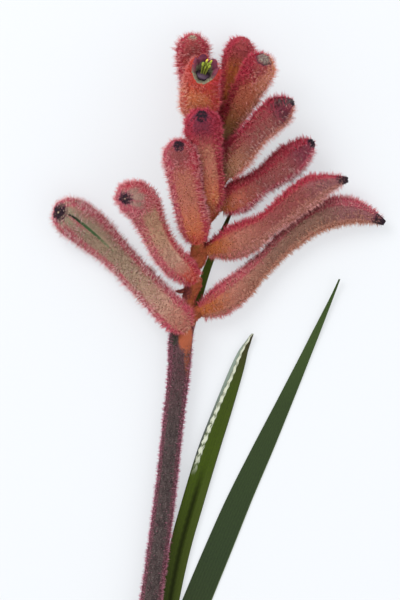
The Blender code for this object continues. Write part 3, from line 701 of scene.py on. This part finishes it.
def sample_rings(rng, rings, shares, tangents, count):
    """Random points of a flower's outside: place, normal, share, place round and run."""
    sides = rings.shape[1]
    faces, along, around = tube_quads(len(rings), sides)
    points = rings.reshape(-1, 3)
    a, b, c, d = (points[faces[:, n]] for n in range(4))
    normals = np.cross(c - a, d - b)
    areas = 0.5 * norm(normals, axis=1)
    outwards = (a + c) / 2 - rings.mean(1)[along[:, 0]]
    flip = np.sign((outwards * normals).sum(1))
    normals = normals / (2 * areas[:, None] + 1e-12) * flip[:, None]
    pick = rng.choice(len(faces), count, p=areas / areas.sum())
    s, r = rng.random(count), rng.random(count)
    lower = (1 - s)[:, None] * a[pick] + s[:, None] * b[pick]
    upper = (1 - s)[:, None] * d[pick] + s[:, None] * c[pick]
    spot = (1 - r)[:, None] * lower + r[:, None] * upper
    share = shares.ravel()[faces[pick, 0]] * (1 - r) + shares.ravel()[faces[pick, 3]] * r
    return spot, normals[pick], share, (around[pick, 0] + s / sides) % 1, tangents[along[pick, 0]]


def ring_area(rings):
    edges = norm(np.diff(rings, axis=0), axis=2).mean(1)
    rounds = norm(np.roll(rings, -1, axis=1) - rings, axis=2).sum(1)
    return float((edges * (rounds[1:] + rounds[:-1]) / 2).sum())


def spikes(name, root, tip, radius, tint, along, top):
    """Closed three-sided hairs, with a map that runs along the flower and up each hair."""
    count = len(root)
    axis = unit(tip - root)
    side = unit(np.cross(axis, [0.31, 0.17, 0.93]))
    over = np.cross(axis, side)
    angles, radius = (TURN * k / 3 for k in range(3)), radius[:, None]
    corners = [root + radius * (math.cos(a) * side + math.sin(a) * over) for a in angles]
    points = np.stack(corners + [tip], 1).reshape(-1, 3)
    points[:, 2] = np.maximum(points[:, 2], FLOOR_CLEAR)
    pattern = np.array([[0, 1, 3], [1, 2, 3], [2, 0, 3], [2, 1, 0]])
    faces = (4 * np.arange(count)[:, None, None] + pattern).reshape(-1, 3)
    tint_band = np.floor(np.clip(tint, 0, 0.999) * TINTS)
    band = (tint_band + 0.04 + 0.92 * np.clip(along, 0, 1)) / TINTS
    half = 0.03 / TINTS
    low, high, foot, peak = (
        np.stack([band + shift, np.broadcast_to(height, count)], 1)
        for shift, height in ((-half, 0.02), (half, 0.02), (0, 0.05), (0, top))
    )
    uv = np.stack([low, high, peak] * 3 + [low, high, foot], 1).reshape(-1, 2)
    return new_mesh(name, points, faces.tolist(), uv)


def neighbours_of(own):
    """A search tree of the part's solids but a node's own and the stamens."""
    points, triangles = [], []
    for name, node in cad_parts.items():
        if name not in (own, "stamens"):
            places, corners = triangles_mm(node)
            triangles += (corners + len(points)).tolist()
            points += places.tolist()
    return BVHTree.FromPolygons(points, triangles)


def grow(rng, coat, area, neighbours, longest, spot, normal, run, tint, along):
    """Hairs of one coat, gathered into pointed tufts and cut short before a neighbour."""
    count = len(spot)
    stray = rng.normal(size=(2, count, 1))
    flat_run = unit(run - (run * normal).sum(1)[:, None] * normal)
    lean = HAIR_LEAN * run + stray[0] * coat.along * flat_run
    lean = lean + stray[1] * coat.across * np.cross(normal, flat_run)
    heading = unit(normal + lean)
    length = longest * (coat.length + coat.spread * rng.random(count) ** 1.5)
    tufts = max(1, int(area * coat.tufts_per_mm2))
    tree = KDTree(tufts)
    for k in range(tufts):
        tree.insert(spot[k], k)
    tree.balance()
    nearest = np.array([tree.find(p)[1] for p in spot])
    tuft_tip = spot[nearest] + heading[nearest] * (1.1 * length[nearest])[:, None]
    tip = spot + heading * length[:, None]
    share = (2 * coat.pull * rng.random(count))[:, None].clip(0, 0.9)
    heading = tip * (1 - share) + tuft_tip * share - spot
    length = norm(heading, axis=1)
    heading = heading / length[:, None]
    rays = zip(spot + RAY_FROM * normal, heading, length + NEIGHBOUR_CLEAR)
    hits = [neighbours.ray_cast(*ray)[3] for ray in rays]
    free = np.array([x if hit is None else hit - NEIGHBOUR_CLEAR for x, hit in zip(length, hits)])
    keep = free > SHORTEST_HAIR
    tip = spot + heading * np.minimum(length, free)[:, None]
    root = spot - HAIR_SUNK * normal
    radius = coat.radius * (0.7 + 0.6 * rng.random(count))
    top = np.full(count, coat.top)
    return [x[keep] for x in (root, tip, radius, tint, along, top)]


def add_hairs(rng, label, node, material, area, density, pick):
    """A piece with all coats. pick gives the places for a number of hairs."""
    neighbours = neighbours_of(node)
    hairs = []
    for coat in COATS:
        places = pick(int(area * density * coat.per_mm2))
        hairs.append(grow(rng, coat, area, neighbours, *places))
    hairs = spikes(label + "_hairs", *(np.concatenate(x) for x in zip(*hairs)))
    finish_piece(hairs, node, material)


def hair_places(graph):
    """A hair's place on the map and along its flower, its tint and the height on it."""
    place, height = graph.map(HAIR_MAP)
    place = place * float(TINTS)
    return place, place.math("FRACT"), place.math("FLOOR") / (TINTS - 1.0), height


def hair_material(flower):
    """Colours by the hair's tint, from its flower's pale side to its deep side."""
    graph = Graph(flower.name + "_hair", 0.6)
    place, along, tint, height = hair_places(graph)
    pale, deep = tint.span(0.1, 0.4, 0.0, 1.0), tint.span(0.56, 0.88)
    root = graph.ramp(along, tube_colours(flower))
    tip = root.mix(0.42, graph.ramp(along, [(0.66, flower.mid_tip), (0.86, flower.head_tip)]))
    # The roots are darkened a little towards black: painted shade between the hairs.
    root = root.mix(0.2, BLACK).mix(pale, flower.pale_side).mix(deep, flower.deep_side)
    off_foot = along.span(0.08, 0.3, 0.8)
    pale_tip, deep_tip = (graph.mix(off_foot, ROSE, x) for x in (flower.pale_tip, flower.deep_tip))
    tip = tip.mix(pale, pale_tip).mix(deep, deep_tip)
    if flower.name == OPEN_FLOWER:
        tip = tip.mix(along.span(*MOUTH_RED, 0.6), CRIMSON)
    shade = graph.noise(170.0, 1.0, graph.out("CombineXYZ", {0: place}))
    colour = root.mix(height.span(0.1, 0.55), tip).mix(shade.span(0.35, 0.65, 0.0, 0.5), root)
    dark = along.span(flower.dark_from - 0.02, flower.dark_from, 0.93)
    if flower.name == SMUDGED_FLOWER:
        smudge = along.within(*SMUDGE_SHARES, 0.02) * tint.within(0.25, 0.75, 0.1)
        dark = dark.math("MAXIMUM", smudge * 0.8)
    return graph.paint(colour.mix(dark, SOOT))


def dress_flower(number, flower, rings, shares):
    rng = np.random.default_rng(number)
    name, end = flower.name, shares[-1].max()
    tangents = flower_frames(flower, shares[:, SIDES // 2])[1]

    def pick(count):
        spot, normal, share, around, run = sample_rings(rng, rings, shares, tangents, count)
        near_tip = smoothstep(share, SHORT_FROM, end)
        keep = share < end - 0.006
        if name == SPLIT_FLOWER:
            off_slit = np.minimum(around, 1 - around) * TURN
            keep &= ~((off_slit < SLIT_BARE) & (share > SLIT_FROM + 0.04))
        keep &= rng.random(count) < 1 - 0.3 * near_tip
        longest = flower.hair_mm * (1 - 0.55 * near_tip)
        facing = normal @ deep_direction(flower)
        level = np.hypot(normal[:, 0], normal[:, 1])
        rim = np.sign(facing + 0.1 * rng.normal(size=count)) * level**1.3
        facing += smoothstep(share, *HOOD) * (rim - facing)
        tint = 0.5 + 0.42 * facing + 0.12 * rng.normal(size=count)
        return [x[keep] for x in (longest, spot, normal, run, tint, share)]

    add_hairs(rng, name, name, hair_material(flower), ring_area(rings), 1.0, pick)


# Stamens


def spindle(axis, radii):
    """A closed round tube along an axis."""
    tangents = unit(np.gradient(axis, axis=0))
    side = unit(np.cross(tangents, [0.0, 0.13, 1.0]))
    over = np.cross(side, tangents)
    angles = np.linspace(0, TURN, STAMEN_SIDES, endpoint=False)
    round_about = np.cos(angles)[:, None, None] * side + np.sin(angles)[:, None, None] * over
    rings = axis[:, None] + radii[:, None, None] * round_about.transpose(1, 0, 2)
    return lidded_tube("stamen", rings, np.linspace(0, 1, len(axis)), "Stamen")


def stamens_mesh(flower):
    """Six stamens with long anthers and the style, on a disc in the flower's cup."""
    length = flower_length(flower)
    low = MOUTH_FLOOR + GAP / length
    disc_shares = np.repeat(np.array([[low], [low + STAMEN_FOOT / length]]), SIDES, axis=1)
    disc = flower_points(flower, disc_shares, MOUTH_R, MOUTH_WALL + MOUTH_TAPER + GAP)
    pieces = [lidded_tube("stamens_finer", disc, [0.0, 0.05], "Stamen")]
    steps = np.linspace(0, 1, STAMEN_STEPS)
    start = low + 0.4 * STAMEN_FOOT / length
    for k, drop in enumerate(STAMEN_DROPS):
        is_stamen = k < LOBES
        angle = math.pi + STAMEN_FAN * (k - (LOBES - 1) / 2)
        shares = start + (STAMEN_TOP - drop - start) * steps
        centres, _, belly, side = flower_frames(flower, shares)
        ring = is_stamen * np.interp(steps, [0, 1], STAMEN_SPREAD)[:, None]
        axis = centres + ring * (math.cos(angle) * belly + math.sin(angle) * side)
        anther = smoothstep(steps - ANTHER_FROM, 0, 0.05)
        radii = FILAMENT_R + is_stamen * (ANTHER_R - FILAMENT_R) * anther
        radii = radii * np.sqrt(1 - 0.9 * smoothstep(steps - 0.9, 0, 0.1))
        pieces.append(spindle(axis, radii))
    with bpy.context.temp_override(active_object=pieces[0], selected_editable_objects=pieces):
        bpy.ops.object.join()
    face_outwards(pieces[0])
    return pieces[0]


def stamens_material():
    """Dark stems, green anthers, and yellow ones with pollen towards the mouth."""
    graph = Graph("stamens", 0.5, 0.3)
    place, _ = graph.map("Stamen")
    stem = [(0.06, (0.08, 0.04, 0.07)), (0.12, (0.17, 0.17, 0.03))]
    green = graph.ramp(place, stem + [(0.7, (0.20, 0.23, 0.02)), (0.78, (0.26, 0.34, 0.03))])
    yellow = graph.ramp(place, stem + [(0.7, (0.30, 0.28, 0.02)), (0.78, (0.80, 0.62, 0.04))])
    pollen = graph.noise(5000.0)
    dust = pollen.span(0.45, 0.7, 0.4) * place.span(0.7, 0.76)
    colour = green.mix(stalk_place(graph)[1].span(*POLLEN_Y), yellow)
    return graph.paint(colour.mix(dust, (0.85, 0.70, 0.16)), pollen, 0.5, 0.08)


# Stalk


def stalk_place(graph):
    """The surface's place in the millimetres of the routes."""
    place = graph.split(graph.out("TexCoord", output="Object"))
    return [x * 1000.0 + centre for x, centre in zip(place, FOOTPRINT_CENTRE)]


def patch(place, centre, half_size, noise):
    """A soft blotch round a point."""
    x, y = ((place[n] - centre[n]) / half_size[n] for n in range(2))
    return (x * x + y * y + (noise - 0.5) * 2.0).span(0.5, 1.3, 0.0, 1.0)


def stalk_material():
    """Dark felt with grey fibres and red edges, and orange rind above it. The red edges are partly
    the felt's own colour and partly painted backlight, and one patch is a painted shadow.
    """
    graph = Graph("stalk_felt", 0.8)
    x, y = stalk_place(graph)
    mottle, fine = graph.noise(700.0), graph.noise(3200.0, 4.0)
    streaks = graph.stretched_noise(1.3, y, x, 0.3)
    felt = graph.mix(streaks.span(0.35, 0.65), (0.046, 0.031, 0.032), (0.09, 0.064, 0.062))
    felt = felt.mix(fine.span(0.53, 0.7, 0.75), (0.23, 0.20, 0.185))
    felt = felt.mix(y.span(-6.0, 16.0, 0.5), (0.13, 0.04, 0.055))
    # The sides facing left and right turn red: partly the felt's own red and partly painted
    # backlight.
    edge = abs(graph.towards((1.0, 0.0, 0.0)))
    felt = felt.mix(edge.span(0.6, 0.98, 0.8), (0.18, 0.045, 0.07))
    rind = graph.mix(mottle.span(0.35, 0.65), (0.21, 0.055, 0.02), (0.38, 0.095, 0.04))
    rind = rind.mix(fine.span(0.5, 0.8, 0.5), (0.42, 0.13, 0.06))
    height = y + mottle * 5.0 - 2.5
    colour = felt.mix(height.span(STEM_TOP - 1.5, STEM_TOP + 1.5), rind)
    for centre, half_size, blotch in STALK_PATCHES:
        colour = colour.mix(patch((x, y), centre, half_size, fine), blotch)
    return graph.paint(colour, fine, 0.6, 0.15)


def stalk_hair_material(label, roots, tips):
    """The tint goes from the stalk's left to its right. The redder edges are partly the hairs' own
    red and partly painted backlight.
    """
    graph = Graph(label + "_hair", 0.6)
    _, _, tint, height = hair_places(graph)
    edge = abs(tint - 0.5).span(0.28, 0.43)
    root, tip = graph.mix(edge, *roots), graph.mix(edge, *tips)
    return graph.paint(root.mix(height.span(0.1, 0.6), tip))


def dress_stretch(rng, label, corners, normals, areas):
    """Short hairs on one stretch of the stalk, with a bare place at the rind."""
    low, high, longest_mm, density, *colours = STALK_HAIRS[label]
    a, b, c = corners
    height = (a + b + c)[:, 1] / 3
    share = areas * ((height > low) & (height <= high))
    area = share.sum()

    def pick(count):
        face = rng.choice(len(a), count, p=share / area)
        s, r = np.sqrt(rng.random(count))[:, None], rng.random(count)[:, None]
        spot = (1 - s) * a[face] + s * (1 - r) * b[face] + s * r * c[face]
        normal = normals[face]
        along = np.clip((spot[:, 1] - low) / (high - low), 0, 1)
        tint = 0.5 + 0.42 * normal[:, 0] + 0.1 * rng.normal(size=count)
        bare = ((spot[:, :2] - RIND_AT) / RIND_SIZE) ** 2
        keep = bare.sum(1) > 0.35 + 1.5 * rng.random(count)
        run = np.broadcast_to(STALK_RUN, (count, 3))
        longest = np.full(count, longest_mm)
        return [x[keep] for x in (longest, spot, normal, run, tint, along)]

    add_hairs(rng, label, "stalk", stalk_hair_material(label, *colours), area, density, pick)


def dress_stalk():
    """The stalk's own solid in felt and rind, with short hairs."""
    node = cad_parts["stalk"]
    points, triangles = triangles_mm(node)
    corners = a, b, c = [points[triangles[:, n]] for n in range(3)]
    normals = np.cross(b - a, c - a)
    areas = norm(normals, axis=1) / 2
    normals = normals / (2 * areas[:, None] + 1e-12)
    rng = np.random.default_rng(100)
    for label in STALK_HAIRS:
        dress_stretch(rng, label, corners, normals, areas)
    node.data.materials.clear()
    node.data.materials.append(stalk_material())


# Leaves


def smooth_rows(rows, count):
    """Rows from a Catmull-Rom curve through some, evenly by length in space."""
    rows = np.array(rows, float)
    rows = np.vstack([2 * rows[0] - rows[1], rows, 2 * rows[-1] - rows[-2]])
    fine = []
    for a, b, c, d in zip(rows[:-3], rows[1:-2], rows[2:-1], rows[3:]):
        for t in np.linspace(0, 1, 20, endpoint=False):
            square, cube = 2 * a - 5 * b + 4 * c - d, 3 * b - a - 3 * c + d
            fine.append(0.5 * (2 * b + (c - a) * t + square * t**2 + cube * t**3))
    fine = np.array(fine + [rows[-2]])
    steps = norm(np.diff(fine[:, :3], axis=0), axis=1)
    along = np.concatenate([[0], np.cumsum(steps)])
    at = np.linspace(0, along[-1], count)
    return np.stack([np.interp(at, along, column) for column in fine.T], axis=1)


def stalk_axis_at(y):
    xs, ys, zs = STALK.T
    return np.array([np.interp(y, ys, xs), y, np.interp(y, ys, zs)])


def leaf_columns(leaf, y, half):
    """Places across a blade from -1 to 1, and the height of each."""
    share = np.linspace(0, 1, LEAF_ACROSS + 1)
    if not leaf.margin:
        return 2 * share - 1, np.zeros(len(share))
    heights, strips = zip(*leaf.margin)
    strip = np.interp(y, heights, strips)
    tooth = abs((y / TOOTH_PITCH) % 1 - 0.5) * 2
    edge = 2 * strip - 1 + TOOTH_DEPTH * tooth / half
    near = -1 + (edge + 1) * share / MARGIN_AT
    far = edge + (1 - edge) * (share - MARGIN_AT) / (1 - MARGIN_AT)
    place = np.where(share < MARGIN_AT, near, far)
    step = MARGIN_STEP * smoothstep(share - MARGIN_AT + 0.03, 0, 0.04)
    step = step * smoothstep(1 - place, 0, 0.8)
    return place, step * smoothstep(y - heights[0], 0, MARGIN_FADE)


def leaf_grid(leaf):
    """A leaf's blade, a row for each station, bent round the stalk at its foot."""
    sheath_r, sheath_middle, sheath_half = leaf.sheath
    grid = []
    for x, y, z, half, rise in smooth_rows(leaf.midline, LEAF_STATIONS):
        axis = stalk_axis_at(y)
        across = unit(np.cross(stalk_axis_at(y + 2) - stalk_axis_at(y - 2), UP))
        sheath = 1 - smoothstep(y, *leaf.turn)
        row = []
        for j, step in zip(*leaf_columns(leaf, y, half)):
            height = rise * abs(j - leaf.fold * (1 - sheath)) * half + step
            blade = np.array([x, y, z + height]) + j * half * across - axis
            out, up = blade @ across, blade[2]
            along = blade - out * across - [0, 0, up]
            angle, reach = math.atan2(up, out), math.hypot(out, up)
            angle += sheath * (math.radians(sheath_middle + j * sheath_half) - angle)
            reach += sheath * (sheath_r - reach)
            turned = reach * (math.cos(angle) * across + [0, 0, math.sin(angle)])
            row.append(axis + turned + (1 - sheath) * along)
        grid.append(row)
    return np.array(grid)


def leaf_blade(leaf):
    """A closed blade with raised veins, thinner towards its edges."""
    grid = leaf_grid(leaf)
    normals = unit(np.cross(np.gradient(grid, axis=1), np.gradient(grid, axis=0)))
    rows, columns = grid.shape[:2]
    shares = np.tile(np.linspace(0, 1, columns), (rows, 1))
    edge = 1 - np.abs(2 * shares - 1) ** 3 * (1 - EDGE_SHARE)
    veins = VEIN_RELIEF * np.cos(TURN * VEINS * shares)
    half = LEAF_THICK / 2 * edge
    upper = grid + (half + veins)[..., None] * normals
    lower = grid - (half if leaf.margin else np.full_like(half, LOW))[..., None] * normals
    points = np.concatenate([upper.reshape(-1, 3), lower.reshape(-1, 3)])
    points[:, 2] = np.maximum(points[:, 2], 0.0)
    under = rows * columns
    i, j = grid_of(rows - 1, columns - 1)
    a, b = i * columns + j, i * columns + j + 1
    c, d = b + columns, a + columns
    faces = [np.stack([a, b, c, d], 1), np.stack([a, d, c, b], 1) + under]
    down, over = np.arange(rows - 1) * columns, np.arange(columns - 1)
    borders = [(down, columns), (down + columns - 1, columns), (over, 1)]
    for first, step in borders + [(over + (rows - 1) * columns, 1)]:
        faces.append(np.stack([first, first + step, first + step + under, first + under], 1))
    faces = np.concatenate(faces)
    flat = np.stack([np.repeat(np.linspace(0, 1, rows), columns), shares.ravel()], 1)
    uv = np.concatenate([flat, flat])[faces.ravel()]
    blade = new_mesh(leaf.name + "_blade", points, faces, uv, "Blade")
    face_outwards(blade)
    blade.data.set_sharp_from_angle(angle=math.radians(EDGE_ANGLE))
    return blade


def add_fold(graph, colour, along, across, fibres):
    """The folded leaf's dark crease below in painted shade with a painted lighter far wall, and its
    grey back and beaded margin above.
    """
    lower, upper = along.span(0.62, 0.72, 0.0, 1.0), along.span(0.67, 0.73)
    # Painted shade darkening the crease.
    crease_shade = across.within(0.50, 0.66, 0.08) * lower * 0.85
    colour = colour.mix(crease_shade, (0.008, 0.011, 0.001))
    # Painted light: the wall beyond the crease made lighter green.
    colour = colour.mix(across.span(0.66, 0.8) * lower * 0.6, (0.056, 0.078, 0.014))
    grey = graph.mix(along.span(0.72, 0.95), (0.06, 0.07, 0.06), (0.22, 0.27, 0.22))
    colour = colour.mix(across.span(0.2, 0.24, 0.0, 1.0) * upper, grey)
    wander = graph.stretched_noise(24.0, along, across, 1.0) * 9.0
    beads = (along * (BEADS * TURN) + wander).math("COSINE") + fibres.span(0.3, 0.7, 0.6, -0.6)
    gap = graph.mix(along.span(0.76, 0.9), (0.09, 0.11, 0.055), (0.30, 0.32, 0.24))
    pale = gap.mix(beads.span(-1.0, 0.0), (0.56, 0.58, 0.46))
    return colour.mix(across.within(0.235, 0.36, 0.02) * upper, pale)


def leaf_material(leaf):
    """Greens along the leaf, pale veins, fine streaks and a lighter edge."""
    graph = Graph(leaf.name, 0.6, 0.05)
    along, across = graph.map("Blade")
    streaks = graph.stretched_noise(26.0, along, across, 6.0)
    fibres = graph.stretched_noise(90.0, along, across, 3.0)
    green = graph.ramp(along, leaf.greens)
    colour = green.mix(streaks.span(0.35, 0.65, 0.0, 0.5), green.mix(0.5, BLACK))
    colour = colour.mix(fibres.span(0.5, 0.75, 0.25), leaf.vein)
    wave = (across * (TURN * VEINS)).math("COSINE")
    colour = colour.mix(wave.span(0.5, 1.0, 0.15), leaf.vein)
    colour = colour.mix(across.span(0.955, 0.985, 0.7), leaf.edge)
    if leaf.margin:
        colour = add_fold(graph, colour, along, across, fibres)
    return graph.paint(colour, streaks, 0.25, 0.1)


# Setting


def add_floor():
    half = 2000
    corners = [(-half, -half, 0), (half, -half, 0), (half, half, 0), (-half, half, 0)]
    floor = new_mesh("table", corners, [[0, 1, 2, 3]])
    graph = Graph("table", 0.8)
    graph.fill(graph.shader, {"Emission Color": (0.95, 0.97, 1.0), "Emission Strength": 0.535})
    floor.data.materials.append(graph.paint((0.32, 0.33, 0.34)))


def add_lights():
    scene = bpy.context.scene
    scene.view_settings.view_transform = "Standard"
    scene.world = bpy.data.worlds.new("studio")
    scene.world.use_nodes = True
    backdrop = scene.world.node_tree.nodes["Background"].inputs
    backdrop["Color"].default_value = (0.97, 0.985, 1.0, 1)
    for label, place, size, power in (
        ("key", (-400, 500, 800), 500, 4.6),
        ("fill", (500, -300, 900), 900, 1.2),
    ):
        data = bpy.data.lights.new(label, "AREA")
        data.size = size * METRES_PER_MM
        data.energy = power
        lamp = add_object(label, data, place)
        lamp.rotation_euler = (-lamp.location).to_track_quat("-Z", "Y").to_euler()


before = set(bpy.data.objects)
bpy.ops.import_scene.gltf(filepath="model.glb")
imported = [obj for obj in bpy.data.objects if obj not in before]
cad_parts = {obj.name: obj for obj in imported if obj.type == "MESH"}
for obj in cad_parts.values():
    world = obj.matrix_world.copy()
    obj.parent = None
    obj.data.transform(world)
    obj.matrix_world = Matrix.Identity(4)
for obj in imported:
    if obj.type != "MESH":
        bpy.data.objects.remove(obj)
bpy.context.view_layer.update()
add_camera()
add_floor()
add_lights()
for number, flower in enumerate(FLOWERS):
    skin, rings, shares = flower_skin(flower)
    finish_piece(skin, flower.name, skin_material(flower), flower.name)
    dress_flower(number, flower, rings, shares)
open_flower = next(x for x in FLOWERS if x.name == OPEN_FLOWER)
finish_piece(stamens_mesh(open_flower), "stamens", stamens_material(), "stamens")
dress_stalk()
for leaf in LEAVES:
    finish_piece(leaf_blade(leaf), leaf.name, leaf_material(leaf), leaf.name)
